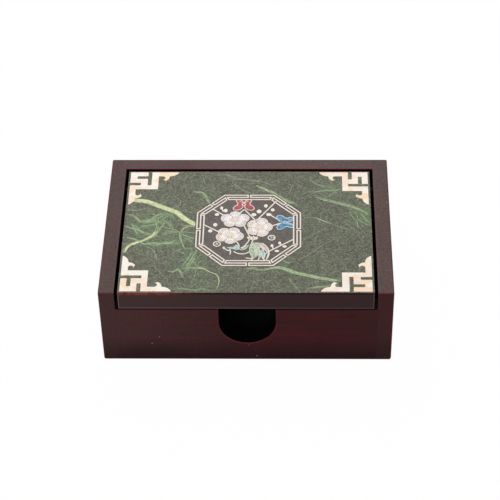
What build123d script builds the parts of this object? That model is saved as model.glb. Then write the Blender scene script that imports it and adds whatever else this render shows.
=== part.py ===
from build123d import *
import os
from math import atan2, cos, degrees, floor, hypot, radians, sin, sqrt

# Business card box of lacquered boards. Its lid lies between the side walls, flush with
# their tops, and swings up on two pins near the rear. The lid carries a panel of dyed
# paper with shell let into it: four corner frets and an octagonal medallion.
# Millimetres. The origin is the middle of the underside, X right, Y to the rear, Z up.

# Case
case_width = 110.0
case_depth = 76.65
case_height = 36.2
side_thickness = 6.0
rear_thickness = 6.1
front_thickness = 6.0
base_thickness = 3.0
base_lap = 3.0
tongue_thickness = 2.5
tongue_length = 2.0
tongue_stop = 3.0
lining_thickness = 1.0
lining_fit = 0.3
edge_radius = 0.6
foot_radius = 1.5
inner_edge_radius = 0.25

# Finger notch in the front wall
notch_width = 21.6
notch_bottom = 9.7
notch_shift = 0.3
notch_edge_chamfer = 0.3

# Lid
lid_thickness = 8.2
lid_side_gap = 1.17
lid_edge_radius = 0.3
lid_rear_edge_radius = 0.2
lid_lower_edge_radius = 0.3
lid_corner_radius = 0.5

# Hinge pins
pin_radius = 1.25
pin_setback = 7.0
pin_in_lid = 10.0
pin_in_wall = 3.5
pin_end_play = 0.3
pin_chamfer = 0.3
pin_running_fit = 0.05
pin_drive_fit = 0.02
swing_clearance = 0.16

# Paper panel
panel_thickness = 1.0
panel_side_rim = 0.12
panel_front_rim = 0.35
panel_rear_rim = 0.25

# Shell: the frets lie in pockets in the panel, the medallion's pieces on its sunk ground
inlay_thickness = 0.3
inlay_proud = 0.04
medallion_proud = 0.02
inlay_fit = 0.03

# Corner frets
fret_side_margin = 0.83
fret_front_margin = 1.05
fret_rear_margin = 0.7
fret_bar_width = 2.35
fret_bar_length = 2.7
fret_slot = 1.55
fret_tail = 19.2
fret_tail_width = 2.4
fret_hook_start = 12.8
fret_hook_end = 15.6
fret_hook_height = 5.0
fret_tip_curve = 0.55

# Medallion
medallion_shift_x = 0.4
medallion_shift_y = 0.3
octagon_half = 20.2
octagon_cut = 10.5
ground_thickness = 0.6
ground_depth = 0.12
ground_margin = 0.35
meander_line = 0.52
meander_pitch = 1.3
meander_side_gap = 0.5
meander_corner_gap = 0.35
petal_gap = 0.16
eye_radius = 0.85
twig_width = 0.5
tendril_width = 0.45
curl_radius = 1.35
rim_width = 0.4
oval_sides = 10

# Butterfly wings: the angle from the head, how far they reach, and half their width
wing_root = 0.4
fore_wing_angle = 45.0
fore_wing = (4.1, 1.25)
middle_wing_angle = 85.0
middle_wing = (2.7, 1.2)
hind_wing_angle = 127.0
hind_wing = (5.1, 1.6)

# Places on the medallion, from its middle: a blossom's middle, half sizes and turn
upper_blossom_form = ((-5.3, 5.8), (5.7, 4.6), 90)
lower_blossom_form = ((-7.2, -3.3), (5.5, 4.7), 60)
right_blossom_form = ((4.2, 1.3), (5.1, 5.4), 75)

# A butterfly's middle and the way its head points
red_butterfly_form = ((-2.1, 14.4), 90)
blue_butterfly_form = ((14.2, 4.1), 0)

# Buds: middle and half sizes
bud_forms = (
    ((-10.7, 12.4), (0.6, 0.9)),
    ((-9.1, 10.9), (0.8, 1.05)),
    ((-12.4, 8.6), (0.9, 0.75)),
    ((-12.9, 2.7), (0.85, 1.0)),
    ((-14.7, -0.8), (0.85, 0.9)),
    ((6.5, 13.6), (0.75, 1.0)),
    ((9.2, 11.3), (0.75, 0.9)),
    ((3.9, 10.4), (0.95, 1.1)),
    ((7.7, 8.6), (1.05, 0.85)),
    ((1.9, 8.5), (1.0, 0.95)),
    ((9.1, -9.1), (0.6, 0.8)),
    ((12.0, -7.6), (0.6, 0.8)),
    ((13.9, -9.5), (0.85, 0.65)),
    ((11.0, -12.0), (0.85, 0.6)),
)

# Twigs: end to end
twig_forms = (
    ((-14.2, 11.8), (-9.0, 7.6)),
    ((-17.4, 2.8), (-9.5, -2.6)),
    ((10.6, 16.4), (3.6, 6.0)),
    ((8.2, 8.4), (12.6, 4.6)),
    ((7.5, 1.4), (12.4, 3.7)),
    ((17.4, -5.4), (7.7, -12.4)),
    ((-2.0, 11.4), (-4.2, 8.6)),
    ((-1.8, 11.6), (2.6, 5.2)),
    ((-10.7, 12.4), (-9.9, 10.2)),
    ((9.1, -9.1), (9.6, -10.8)),
    ((12.0, -7.6), (12.6, -8.6)),
)

# Tendrils: start, a point on the way, and end of each arc
tendril_forms = (
    ((-2.0, 3.0), (-0.9, -0.2), (0.2, -3.2)),
    ((0.2, -3.1), (0.4, -5.6), (-0.6, -7.9)),
    ((-0.6, -7.8), (-1.6, -9.5), (-2.8, -10.4)),
    ((1.9, -3.6), (1.8, -5.8), (1.3, -7.7)),
    ((-4.9, -6.4), (-3.8, -8.0), (-3.4, -9.9)),
    ((-9.2, -9.6), (-8.4, -11.2), (-6.6, -11.9)),
    ((-7.0, -11.0), (-6.6, -12.4), (-6.9, -13.9)),
    ((-5.4, -12.2), (-1.9, -13.6), (1.0, -11.8)),
    ((5.3, -7.7), (7.8, -11.4), (6.9, -16.8)),
    ((2.6, -13.6), (2.3, -15.4), (1.2, -17.1)),
    ((2.3, -15.2), (0.9, -16.1), (-0.7, -15.7)),
    ((4.3, -14.0), (4.4, -15.6), (3.9, -17.1)),
    ((5.4, -15.2), (5.8, -16.2), (6.5, -17.1)),
)
curl_middles = ((8.9, -4.6), (-11.9, -8.1))

# Leaves: root, tip, and how far each edge bows from the line between them
green_leaf_forms = (
    ((1.3, -7.6), (2.2, -16.4), -1.3, 1.7),
    ((-2.9, -11.7), (0.2, -8.6), -0.9, 0.4),
)
pink_leaf_forms = (
    ((2.2, -7.6), (6.9, -13.8), 1.5, 2.6),
    ((2.6, -8.2), (6.2, -12.6), 0.3, 1.3),
)
aqua_leaf_forms = (
    ((4.1, -10.4), (4.3, -16.6), -0.3, 0.9),
    ((5.2, -11.3), (6.0, -16.4), -0.5, 1.1),
    ((-4.2, -8.6), (-4.5, -11.5), -1.1, 1.1),
    ((-2.4, -11.3), (-8.2, -10.2), -0.9, 0.3),
)

# Worked out from the sizes above
outer_x = case_width / 2
outer_y = case_depth / 2
inner_x = outer_x - side_thickness
front_inner_y = front_thickness - outer_y
rear_inner_y = outer_y - rear_thickness
front_height = case_height - lid_thickness

# The gap behind the lid lets its rear corner swing past the rear wall
lid_rear_gap = hypot(pin_setback, lid_thickness / 2) - pin_setback + swing_clearance
lid_half_width = inner_x - lid_side_gap
lid_rear_y = rear_inner_y - lid_rear_gap
pin_y = lid_rear_y - pin_setback
pin_z = case_height - lid_thickness / 2

panel_top = case_height - inlay_proud
panel_half_width = lid_half_width - panel_side_rim
panel_front_y = panel_front_rim - outer_y
panel_rear_y = lid_rear_y - panel_rear_rim
panel_middle_y = (panel_front_y + panel_rear_y) / 2
inlay_floor = case_height - inlay_thickness
fret_x = lid_half_width - fret_side_margin
fret_front_y = fret_front_margin - outer_y
fret_rear_y = lid_rear_y - fret_rear_margin
ground_top = panel_top - ground_depth
medallion_top = panel_top + medallion_proud
medallion_place = Pos(medallion_shift_x, panel_middle_y + medallion_shift_y)


def block(low, high):
    """A rectangular block between two corners."""
    size = [b - a for a, b in zip(low, high)]
    middle = [(a + b) / 2 for a, b in zip(low, high)]
    return Pos(*middle) * Box(*size)


def slab(sketch, low_z, high_z):
    """The sketch as a flat piece between two heights."""
    return Pos(0, 0, low_z) * extrude(sketch, amount=high_z - low_z)


def pin_rod(radius, start_x, end_x):
    """A rod on the hinge line between two places along X."""
    middle = Pos((start_x + end_x) / 2, pin_y, pin_z)
    return middle * Rot(0, 90, 0) * Cylinder(radius, end_x - start_x)


def base_block(thickness):
    """The space of the base board, which laps under all four walls."""
    return block(
        (-inner_x - base_lap, front_inner_y - base_lap, 0),
        (inner_x + base_lap, rear_inner_y + base_lap, thickness),
    )


def tongue(middle_y, top):
    """The tongue at the right end of the front or rear wall."""
    return block(
        (inner_x, middle_y - tongue_thickness / 2, base_thickness + tongue_stop),
        (inner_x + tongue_length, middle_y + tongue_thickness / 2, top - tongue_stop),
    )


def front_tongue():
    return tongue((front_inner_y - outer_y) / 2, front_height)


def rear_tongue():
    return tongue((rear_inner_y + outer_y) / 2, case_height)


def both_sides(part):
    """The part and its mirror image on the other side of the case."""
    return part + mirror(part, about=Plane.YZ)


def at(edges, axis, place):
    """The edges that lie at one place along an axis."""
    return edges.filter_by_position(axis, place - 1e-4, place + 1e-4)


# Case boards


def outer_edges(edges):
    """Of a right wall's edges, the sharp ones on its outer side and across its two ends."""
    lines = edges.filter_by(GeomType.LINE)
    outer = at(lines, Axis.X, outer_x)
    ends = [edge for edge in lines.filter_by(Axis.X) if abs(edge.center().Y) > outer_y - 1e-4]
    return outer + ends


def right_wall():
    """A side wall: full height, with grooves for the tongues and a blind pin bore."""
    wall = block((inner_x, -outer_y, 0), (outer_x, outer_y, case_height))
    wall = fillet(outer_edges(at(wall.edges(), Axis.Z, 0)), foot_radius)
    wall = fillet(outer_edges(wall.edges()), edge_radius)
    wall -= base_block(base_thickness)
    wall -= front_tongue()
    wall -= rear_tongue()
    wall -= pin_rod(pin_radius + pin_running_fit, inner_x, inner_x + pin_in_wall + pin_end_play)
    lid_run = block(
        (inner_x, -outer_y - 1, case_height - inner_edge_radius),
        (inner_x + inner_edge_radius, rear_inner_y, case_height + 1),
    )
    rounding = Pos(inner_x + inner_edge_radius, 0, case_height - inner_edge_radius)
    rounding *= Rot(90, 0, 0) * Cylinder(inner_edge_radius, 2 * case_depth)
    return wall - (lid_run - rounding)


def rear_wall():
    """The rear wall, between the side walls."""
    wall = block((-inner_x, rear_inner_y, 0), (inner_x, outer_y, case_height))
    wall = fillet(at(at(wall.edges(), Axis.Y, outer_y), Axis.Z, 0), foot_radius)
    wall = fillet(at(at(wall.edges(), Axis.Y, outer_y), Axis.Z, case_height), edge_radius)
    inner_top = at(at(wall.edges(), Axis.Y, rear_inner_y), Axis.Z, case_height)
    wall = fillet(inner_top, inner_edge_radius)
    return wall + both_sides(rear_tongue()) - base_block(base_thickness)


def notch_outline():
    """The finger notch seen from the front: upright sides on a half round."""
    radius = notch_width / 2
    middle = notch_bottom + radius
    top = front_height + radius
    upright = Pos(0, (middle + top) / 2) * Rectangle(notch_width, top - middle)
    return Pos(notch_shift, 0) * (Pos(0, middle) * Circle(radius) + upright)


def front_wall():
    """The low front wall, which the lid rests on, with the finger notch."""
    wall = block((-inner_x, -outer_y, 0), (inner_x, front_inner_y, front_height))
    along = at(wall.edges().filter_by(Axis.X), Axis.Y, -outer_y)
    wall = fillet(at(along, Axis.Z, 0), foot_radius)
    across = Plane((0, -outer_y - 1, 0), x_dir=(1, 0, 0), z_dir=(0, -1, 0))
    wall -= extrude(across * notch_outline(), amount=-front_thickness - 2)
    front_edges = at(wall.edges(), Axis.Y, -outer_y)
    reach = notch_width / 2 + 0.1
    notch_rim = [edge for edge in front_edges if abs(edge.center().X - notch_shift) < reach]
    notch_rim = [edge for edge in notch_rim if edge.center().Z > notch_bottom - 0.1]
    wall = chamfer(notch_rim, notch_edge_chamfer)
    return wall + both_sides(front_tongue()) - base_block(base_thickness)


def base_board():
    return base_block(base_thickness)


def floor_lining():
    """The cloth pad on the base board."""
    return block(
        (lining_fit - inner_x, front_inner_y + lining_fit, base_thickness),
        (inner_x - lining_fit, rear_inner_y - lining_fit, base_thickness + lining_thickness),
    )


# Lid board and pins


def lid_board():
    """The wooden lid, with a recess for the panel and two bores for the pins."""
    lid = block(
        (-lid_half_width, -outer_y, front_height),
        (lid_half_width, lid_rear_y, case_height),
    )
    lid = fillet(at(lid.edges().filter_by(Axis.Z), Axis.Y, -outer_y), lid_corner_radius)
    top = at(lid.edges(), Axis.Z, case_height)
    rear_top = at(top, Axis.Y, lid_rear_y)
    lid = fillet([edge for edge in top if edge not in rear_top], lid_edge_radius)
    lid = fillet(at(at(lid.edges(), Axis.Z, case_height), Axis.Y, lid_rear_y), lid_rear_edge_radius)
    lid = fillet(at(lid.edges().filter_by(Axis.X), Axis.Z, front_height), lid_lower_edge_radius)
    lid -= slab(panel_outline(), panel_top - panel_thickness, case_height + 1)
    bore = pin_rod(pin_radius + pin_drive_fit, lid_half_width - pin_in_lid, lid_half_width)
    return lid - both_sides(bore)


def right_pin():
    """A hinge pin, driven into the lid's end and free in the side wall."""
    pin = pin_rod(pin_radius, lid_half_width - pin_in_lid, inner_x + pin_in_wall)
    return chamfer(pin.edges().filter_by(GeomType.CIRCLE), pin_chamfer)


# Corner frets


def fret_tail_outline(grow):
    """One tail of a fret along the panel's edge: a bar, a scroll hook and a curved tip."""
    end = fret_tail + grow
    width = fret_tail_width + grow
    hook_start = fret_hook_start - grow
    hook_end = fret_hook_end + grow
    top = fret_hook_height + grow
    hook_middle = (hook_start + hook_end) / 2
    curl = (top - width) / 2
    shoulder = (hook_end + end) / 2
    outline = [
        Line((0, 0), (end, 0)),
        ThreePointArc((end, 0), (shoulder + fret_tip_curve, width * 0.68), (hook_end, width)),
        ThreePointArc((hook_end, width), (hook_end - curl * 0.25, width + curl), (hook_middle, top)),
        Line((hook_middle, top), (hook_start, top - curl * 0.4)),
        ThreePointArc(
            (hook_start, top - curl * 0.4),
            (hook_start + curl * 0.8, width + curl * 0.85),
            (hook_start, width),
        ),
        Line((hook_start, width), (0, width)),
        Line((0, width), (0, 0)),
    ]
    return make_face(outline)


def fret_outline(grow=0.0):
    """A corner fret: a key pattern of bars and slots, with a tail along each edge."""
    step_x = fret_bar_width + fret_slot
    step_y = fret_bar_length + fret_slot
    end_x = 2 * step_x + fret_bar_width + grow
    end_y = 2 * step_y + fret_bar_length + grow
    tail = fret_tail_outline(grow)
    outline = tail + mirror(tail, about=Plane.YZ.rotated((0, 0, -45)))
    outline += rectangle((0, 0), (end_x, end_y))
    long_slot_y = 2 * step_y - fret_slot
    last_slot_x = 2 * step_x - fret_slot
    outline -= rectangle((-1, long_slot_y + grow), (2 * step_x - grow, 2 * step_y - grow))
    outline -= rectangle((fret_bar_width + grow, fret_bar_length + grow), (step_x - grow, 2 * step_y - grow))
    outline -= rectangle((last_slot_x + grow, -1), (2 * step_x - grow, step_y - grow))
    return outline


def rectangle(low, high):
    """A rectangle between two corners."""
    middle = [(a + b) / 2 for a, b in zip(low, high)]
    return Pos(*middle) * Rectangle(high[0] - low[0], high[1] - low[1])


def fret_place(side_x, side_y, turn):
    """The place of a fret near one of the panel's corners."""
    corner_y = fret_front_y if side_y < 0 else fret_rear_y
    return Pos(side_x * fret_x, corner_y) * Rot(0, 0, turn)


# The octagon and its meander


def octagon(inset):
    """The octagon drawn in by a distance: a square with its corners cut off."""
    half = octagon_half - inset
    cut = octagon_cut - (2 - sqrt(2)) * inset
    return chamfer(Rectangle(2 * half, 2 * half).vertices(), cut)


def band(outer_inset, inner_inset):
    return octagon(outer_inset) - octagon(inner_inset)


def side_strips(width):
    """Strips across the middle of each side of the octagon."""
    slant_distance = (2 * octagon_half - octagon_cut) / sqrt(2)
    strips = Sketch()
    for side in range(8):
        distance = octagon_half if side % 2 == 0 else slant_distance
        strips += Rot(0, 0, 45 * side) * Pos(distance, 0) * Rectangle(4 * meander_pitch, width)
    return strips


def corner_strips(width):
    """Strips along the line that halves each corner of the octagon."""
    strips = Sketch()
    for corner in octagon(0).vertices():
        turn = 45 * (floor(degrees(atan2(corner.Y, corner.X)) / 45) + 0.5)
        place = Pos(corner.X, corner.Y) * Rot(0, 0, turn)
        strips += place * Rectangle(8 * meander_pitch, width)
    return strips


def meander(grow=0.0):
    """One unbroken line that runs round the octagon and doubles back along each side."""
    wide = meander_line + grow
    middle = meander_pitch
    inner = 2 * meander_pitch
    between = meander_pitch - meander_line
    lines = band(-grow, wide) + band(middle - grow, middle + wide) + band(inner - grow, inner + wide)
    side_ends = side_strips(meander_side_gap + 2 * wide) & band(-grow, middle + wide)
    corner_ends = corner_strips(meander_corner_gap + 2 * wide) & band(middle - grow, inner + wide)
    side_gaps = side_strips(meander_side_gap - 2 * grow) & band(-1, middle + meander_line + between / 2)
    corner_gaps = corner_strips(meander_corner_gap - 2 * grow) & band(middle - between / 2, inner + 1)
    return lines + side_ends + corner_ends - side_gaps - corner_gaps


# Blossoms, butterflies, twigs and leaves


def blossom(form, grow=0.0):
    """Five round petals about a middle."""
    (x, y), (half_x, half_y), turn = form
    petal = min(half_x, half_y) * 0.52
    petals = Pos(x, y) * Circle(petal)
    for step in range(5):
        angle = radians(turn + 72 * step)
        place = Pos(x + (half_x - petal) * cos(angle), y + (half_y - petal) * sin(angle))
        petals += place * Circle(petal + grow)
    return petals


def petal_gaps(form):
    """The fine gaps between the petals of a blossom."""
    (x, y), (half_x, half_y), turn = form
    reach = half_x + half_y
    gaps = Sketch()
    for step in range(5):
        gap = Pos(reach / 2, 0) * Rectangle(reach, petal_gap)
        gaps += Pos(x, y) * Rot(0, 0, turn + 36 + 72 * step) * gap
    return gaps


def oval(half_x, half_y):
    """A small oval with straight sides, which are too short to show at its size."""
    points = []
    for side in range(oval_sides):
        angle = radians(360 / oval_sides * side)
        points.append((half_x * cos(angle), half_y * sin(angle)))
    return Polygon(*points, align=None)


def ovals(forms, grow=0.0):
    """Ovals given by their middles and half sizes."""
    marks = Sketch()
    for middle, (half_x, half_y) in forms:
        marks += Pos(*middle) * oval(half_x + grow, half_y + grow)
    return marks


def butterfly(form, grow=0.0):
    """Fore and hind wings, each a narrow oval, and a shorter one between them."""
    middle, heading = form
    root = wing_root + rim_width + grow
    wings = Pos(*middle) * oval(root, root)
    for angle, (reach, half_width) in (
        (fore_wing_angle, fore_wing),
        (middle_wing_angle, middle_wing),
        (hind_wing_angle, hind_wing),
    ):
        half_length = (reach - wing_root) / 2
        for turn in (heading - angle, heading + angle):
            place = Pos(*middle) * Rot(0, 0, turn) * Pos(wing_root + half_length, 0)
            wings += place * oval(half_length + grow, half_width + grow)
    return wings


def butterfly_fields(form, grow=0.0):
    """The coloured fields inside the rims of the wings."""
    return butterfly(form, grow - rim_width)


def twigs(forms, grow=0.0):
    """Straight twigs."""
    lines = Sketch()
    for start, end in forms:
        reach = hypot(end[0] - start[0], end[1] - start[1])
        turn = degrees(atan2(end[1] - start[1], end[0] - start[0]))
        twig = Pos(reach / 2, 0) * Rectangle(reach, twig_width + 2 * grow)
        lines += Pos(*start) * Rot(0, 0, turn) * twig
    return lines


def tendrils(forms, grow=0.0):
    """Bowed stems, and a small ring under a blossom on either side."""
    lines = Sketch()
    for start, through, end in forms:
        lines += trace(ThreePointArc(start, through, end), line_width=tendril_width + 2 * grow)
    outer = curl_radius + tendril_width / 2 + grow
    inner = curl_radius - tendril_width / 2 - grow
    for middle in curl_middles:
        lines += Pos(*middle) * (oval(outer, outer) - oval(inner, inner))
    return lines


def leaves(forms, grow=0.0):
    """Leaves between two bowed edges that meet in a point at both ends."""
    shapes = Sketch()
    for root, tip, near, far in forms:
        edges = [SagittaArc(root, tip, far + grow), SagittaArc(tip, root, grow - near)]
        shapes += make_face(edges)
    return shapes


# What lies on the medallion. A piece is cut clear of those that are listed before it.
eye_forms = tuple(
    (form[0], (eye_radius, eye_radius))
    for form in (upper_blossom_form, lower_blossom_form, right_blossom_form)
)
medallion_pieces = (
    ("octagon_meander", meander, None),
    ("blossom_eyes", ovals, eye_forms),
    ("right_blossom", blossom, right_blossom_form),
    ("upper_blossom", blossom, upper_blossom_form),
    ("lower_blossom", blossom, lower_blossom_form),
    ("red_butterfly_wings", butterfly_fields, red_butterfly_form),
    ("red_butterfly_rim", butterfly, red_butterfly_form),
    ("blue_butterfly_wings", butterfly_fields, blue_butterfly_form),
    ("blue_butterfly_rim", butterfly, blue_butterfly_form),
    ("green_leaves", leaves, green_leaf_forms),
    ("pink_leaves", leaves, pink_leaf_forms),
    ("aqua_leaves", leaves, aqua_leaf_forms),
    ("buds", ovals, bud_forms),
    ("twigs", twigs, twig_forms),
    ("tendrils", tendrils, tendril_forms),
)


def draw(shape, form, grow):
    return shape(grow) if form is None else shape(form, grow)


def medallion():
    """The medallion's shell pieces as sketches, none of which overlap."""
    sketches = {}
    taken = Sketch()
    for name, shape, form in medallion_pieces:
        sketch = draw(shape, form, 0) - taken
        if shape is blossom:
            sketch -= petal_gaps(form)
        sketches[name] = sketch
        taken += draw(shape, form, inlay_fit)
    return sketches


def panel_outline():
    """The paper panel seen from above."""
    size_y = panel_rear_y - panel_front_y
    return Pos(0, panel_middle_y) * Rectangle(2 * panel_half_width, size_y)


def paper_panel(fret_places):
    """The panel, with a pocket for each fret and one for the medallion's ground."""
    panel = slab(panel_outline(), panel_top - panel_thickness, panel_top)
    panel -= slab(medallion_place * octagon(-ground_margin), ground_top - ground_thickness, panel_top)
    for place in fret_places:
        panel -= slab(place * fret_outline(inlay_fit), inlay_floor, panel_top)
    return panel


def octagon_ground():
    """The dark ground of the medallion, which lies a little lower than the panel."""
    return medallion_place * slab(octagon(-ground_margin), ground_top - ground_thickness, ground_top)


# Build and write every piece

corners = {
    "front_left_fret": fret_place(-1, -1, 0),
    "front_right_fret": fret_place(1, -1, 90),
    "rear_right_fret": fret_place(1, 1, 180),
    "rear_left_fret": fret_place(-1, 1, 270),
}
pieces = {
    "front_wall": front_wall(),
    "rear_wall": rear_wall(),
    "left_wall": mirror(right_wall(), about=Plane.YZ),
    "right_wall": right_wall(),
    "base_board": base_board(),
    "floor_lining": floor_lining(),
    "lid_board": lid_board(),
    "left_hinge_pin": mirror(right_pin(), about=Plane.YZ),
    "right_hinge_pin": right_pin(),
    "paper_panel": paper_panel(corners.values()),
    "octagon_ground": octagon_ground(),
}
for name, place in corners.items():
    pieces[name] = slab(place * fret_outline(), inlay_floor, case_height)
for name, sketch in medallion().items():
    pieces[name] = medallion_place * slab(sketch, ground_top, medallion_top)

os.makedirs("parts", exist_ok=True)
for name, piece in pieces.items():
    piece.label = name
    export_step(piece, f"parts/{name}.step")
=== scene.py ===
import math
import random

import bpy
from mathutils import Matrix, Vector


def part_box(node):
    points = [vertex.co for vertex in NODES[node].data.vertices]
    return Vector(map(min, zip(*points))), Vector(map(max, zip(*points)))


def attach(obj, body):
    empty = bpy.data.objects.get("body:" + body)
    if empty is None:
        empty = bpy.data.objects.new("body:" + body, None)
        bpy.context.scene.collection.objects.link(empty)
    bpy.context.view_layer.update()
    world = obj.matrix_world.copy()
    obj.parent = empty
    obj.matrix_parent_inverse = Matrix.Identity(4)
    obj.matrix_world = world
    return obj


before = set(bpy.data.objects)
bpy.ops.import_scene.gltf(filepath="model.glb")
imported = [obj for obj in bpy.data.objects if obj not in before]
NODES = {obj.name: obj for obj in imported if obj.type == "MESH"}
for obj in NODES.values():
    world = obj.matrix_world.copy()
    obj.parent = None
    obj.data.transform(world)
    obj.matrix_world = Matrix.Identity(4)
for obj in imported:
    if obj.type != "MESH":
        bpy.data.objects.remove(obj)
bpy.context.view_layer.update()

# Metres, in the frame of the CAD. MM turns the millimetres written below into metres.
MM = 0.001

# Places of the CAD that the materials and the fine work go by
LINING_FIT = 0.3 * MM
TONGUE_LENGTH = 2 * MM
FRONT_INNER_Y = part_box("floor_lining")[0].y - LINING_FIT
REAR_INNER_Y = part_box("rear_wall")[0].y
INNER_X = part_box("rear_wall")[1].x - TONGUE_LENGTH
LID_LOW, LID_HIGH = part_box("lid_board")
PANEL_LOW, PANEL_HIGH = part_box("paper_panel")
OCTAGON_LOW, OCTAGON_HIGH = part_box("octagon_ground")
OCTAGON_MIDDLE = (OCTAGON_LOW + OCTAGON_HIGH) / 2
GROUND_TOP = OCTAGON_HIGH.z
SHELL_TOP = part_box("blossom_eyes")[1].z


# Camera: its place in metres, its turns in radians, lens and sensor in millimetres

CAMERA_PLACE = Vector((0.017774, -0.503414, 0.495333))
CAMERA_YAW = -0.0339648
CAMERA_PITCH = 0.754085
CAMERA_ROLL = -0.0224644
CAMERA_LENS = 127.238
SENSOR = 36
NEAREST, FARTHEST = 0.01, 20


def add_camera():
    data = bpy.data.cameras.new("camera")
    data.sensor_width = SENSOR
    data.lens = CAMERA_LENS
    data.clip_start = NEAREST
    data.clip_end = FARTHEST
    camera = bpy.data.objects.new("camera", data)
    bpy.context.scene.collection.objects.link(camera)
    level = math.cos(CAMERA_PITCH)
    ahead = Vector((math.sin(CAMERA_YAW) * level, math.cos(CAMERA_YAW) * level, -math.sin(CAMERA_PITCH)))
    right = Vector((math.cos(CAMERA_YAW), -math.sin(CAMERA_YAW), 0))
    up = right.cross(ahead)
    turn_x = right * math.cos(CAMERA_ROLL) + up * math.sin(CAMERA_ROLL)
    turn_y = up * math.cos(CAMERA_ROLL) - right * math.sin(CAMERA_ROLL)
    turned = Matrix((turn_x, turn_y, -ahead)).transposed().to_4x4()
    camera.matrix_world = Matrix.Translation(CAMERA_PLACE) @ turned
    bpy.context.scene.camera = camera


# Node helpers

# A normal's largest part on a board's flat face, and where the rounding of an edge is full
FLAT, ROUND = 0.985, 0.8


class Shader:
    """A material's node tree, with short calls for the nodes used here."""

    def __init__(self, name):
        self.material = bpy.data.materials.new(name)
        self.material.use_nodes = True
        self.tree = self.material.node_tree
        self.surface = self.tree.nodes["Principled BSDF"]
        coordinates = self.node("ShaderNodeTexCoord").outputs
        self.place = coordinates["Object"]
        self.x, self.y, self.z = self.split(self.place)
        self.normal = self.split(coordinates["Normal"])

    def put(self, socket, value):
        if isinstance(value, bpy.types.NodeSocket):
            self.tree.links.new(value, socket)
        elif isinstance(value, tuple) and socket.type == "RGBA" and len(value) == 3:
            socket.default_value = (*value, 1)
        else:
            socket.default_value = value

    def node(self, kind, inputs=None, **settings):
        node = self.tree.nodes.new(kind)
        for key, value in settings.items():
            setattr(node, key, value)
        for key, value in (inputs or {}).items():
            self.put(node.inputs[key], value)
        return node

    def set(self, **values):
        """Sets the surface's sockets, named with _ for each blank."""
        for key, value in values.items():
            self.put(self.surface.inputs[key.replace("_", " ")], value)

    def math(self, operation, *values):
        inputs = dict(enumerate(values))
        return self.node("ShaderNodeMath", inputs, operation=operation).outputs[0]

    def fold(self, operation, values):
        """Joins the values by one operation, from the first to the last."""
        result = values[0]
        for value in values[1:]:
            result = self.math(operation, result, value)
        return result

    def times(self, *values):
        return self.fold("MULTIPLY", values)

    def most(self, *values):
        return self.fold("MAXIMUM", values)

    def plus(self, first, second):
        return self.math("ADD", first, second)

    def minus(self, first, second):
        return self.math("SUBTRACT", first, second)

    def size(self, value):
        return self.math("ABSOLUTE", value)

    def below(self, value, limit):
        return self.math("LESS_THAN", value, limit)

    def above(self, value, limit):
        return self.math("GREATER_THAN", value, limit)

    def distance(self, aside, along):
        """How far a point is from a middle that it is aside and along from."""
        squares = self.plus(self.math("POWER", aside, 2), self.math("POWER", along, 2))
        return self.math("SQRT", squares)

    def split(self, vector):
        return self.node("ShaderNodeSeparateXYZ", {0: vector}).outputs

    def scaled(self, scale):
        return self.node("ShaderNodeMapping", {"Vector": self.place, "Scale": scale}).outputs[0]

    def lengthwise(self, axis, along, across):
        """The place scaled by one number along an axis and by another across it."""
        return self.scaled(tuple(along if each == axis else across for each in "XYZ"))

    def shifted(self, vector, offset):
        return self.node("ShaderNodeVectorMath", {0: vector, 1: offset}, operation="ADD").outputs[0]

    def noise(self, scale, detail, roughness, distortion=0, vector=None, offset=None):
        """Noise about 0.5, with scale cells to the metre of the place, or to the unit of vector."""
        place = vector or self.place
        if offset is not None:
            place = self.shifted(place, offset)
        inputs = {"Vector": place, "Scale": scale, "Detail": detail}
        inputs.update(Roughness=roughness, Distortion=distortion)
        return self.node("ShaderNodeTexNoise", inputs).outputs["Fac"]

    def ramp(self, value, low, high, start=0, end=1):
        """start where value is at low, end where it is at high, and smooth between them."""
        inputs = {"Value": value, "From Min": low, "From Max": high, "To Min": start, "To Max": end}
        return self.node("ShaderNodeMapRange", inputs, interpolation_type="SMOOTHSTEP").outputs[0]

    def mix(self, factor, first, second):
        """The first colour where factor is 0, the second where it is 1. 6, 7 and 2 are for colours."""
        return self.node("ShaderNodeMix", {0: factor, 6: first, 7: second}, data_type="RGBA").outputs[2]

    def bump(self, height, strength, distance):
        inputs = {"Height": height, "Strength": strength, "Distance": distance}
        self.set(Normal=self.node("ShaderNodeBump", inputs).outputs[0])

    def edges(self):
        """1 on rounded edges, 0 on the flat faces of a squared board."""
        return self.ramp(self.most(*(self.size(part) for part in self.normal)), FLAT, ROUND)

    def specks(self, scale, radius, share, offset):
        """Round specks: scale is cells to the metre, share how many of the cells hold one."""
        place = self.shifted(self.place, offset)
        cells = self.node("ShaderNodeTexVoronoi", {"Vector": place, "Scale": scale}).outputs
        spot = self.ramp(cells["Distance"], radius, radius * 0.5)
        return self.times(spot, self.below(self.split(cells["Color"])[0], share))


# Lacquered wood

BLACK = (0.0012, 0.001, 0.001)
BROWN = (0.046, 0.013, 0.014)
RED = (0.078, 0.0095, 0.0145)
PORE = (0.013, 0.005, 0.005)
# Painted shade: the lacquer darker towards the foot
FOOT_SHADE = (0.018, 0.0052, 0.0054)
EDGE_RUBBED = (0.135, 0.015, 0.023)
# Painted sheen: the pale grey laid over the lacquer where the light glances off it
PAINTED_SHEEN = (0.66, 0.62, 0.54)
DUST = (0.46, 0.4, 0.38)
# Painted shade in the seam under the lid
SEAM_SHADE = (0.004, 0.001, 0.0015)


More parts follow.
